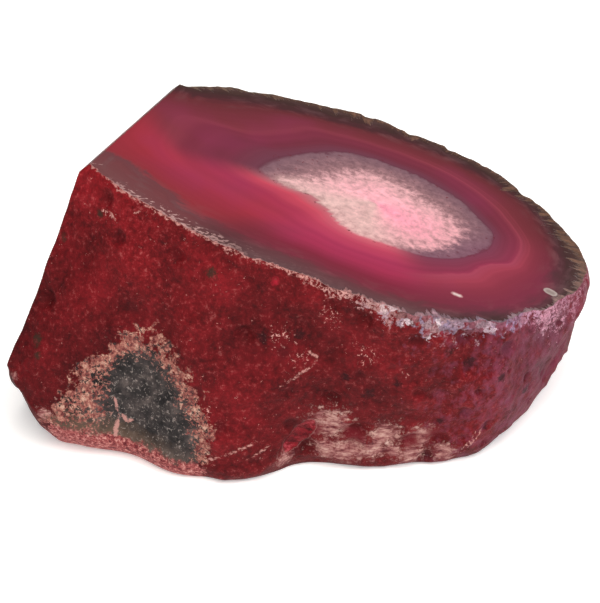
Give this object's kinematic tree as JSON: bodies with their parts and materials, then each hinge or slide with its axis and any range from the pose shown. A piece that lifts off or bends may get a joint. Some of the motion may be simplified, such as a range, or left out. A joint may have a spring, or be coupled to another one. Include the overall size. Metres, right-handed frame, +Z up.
{
  "type": "agate slice",
  "caption": "Thick dyed agate cut from the end of a nodule, with a polished banded face, a sawn end, natural rind and a flat foot.",
  "frame": {"origin": "middle of the bounding box at the foot's height", "axes": "+X along the stone's length, away from the sawn end; +Z up from the foot; the polished face slopes down towards +X"},
  "size_m": [0.1188, 0.0784, 0.0571],
  "materials": {
    "dyed_agate": "matt rind with polished faces"
  },
  "bodies": {
    "root": {"agate": "dyed_agate"}
  },
  "joints": []
}
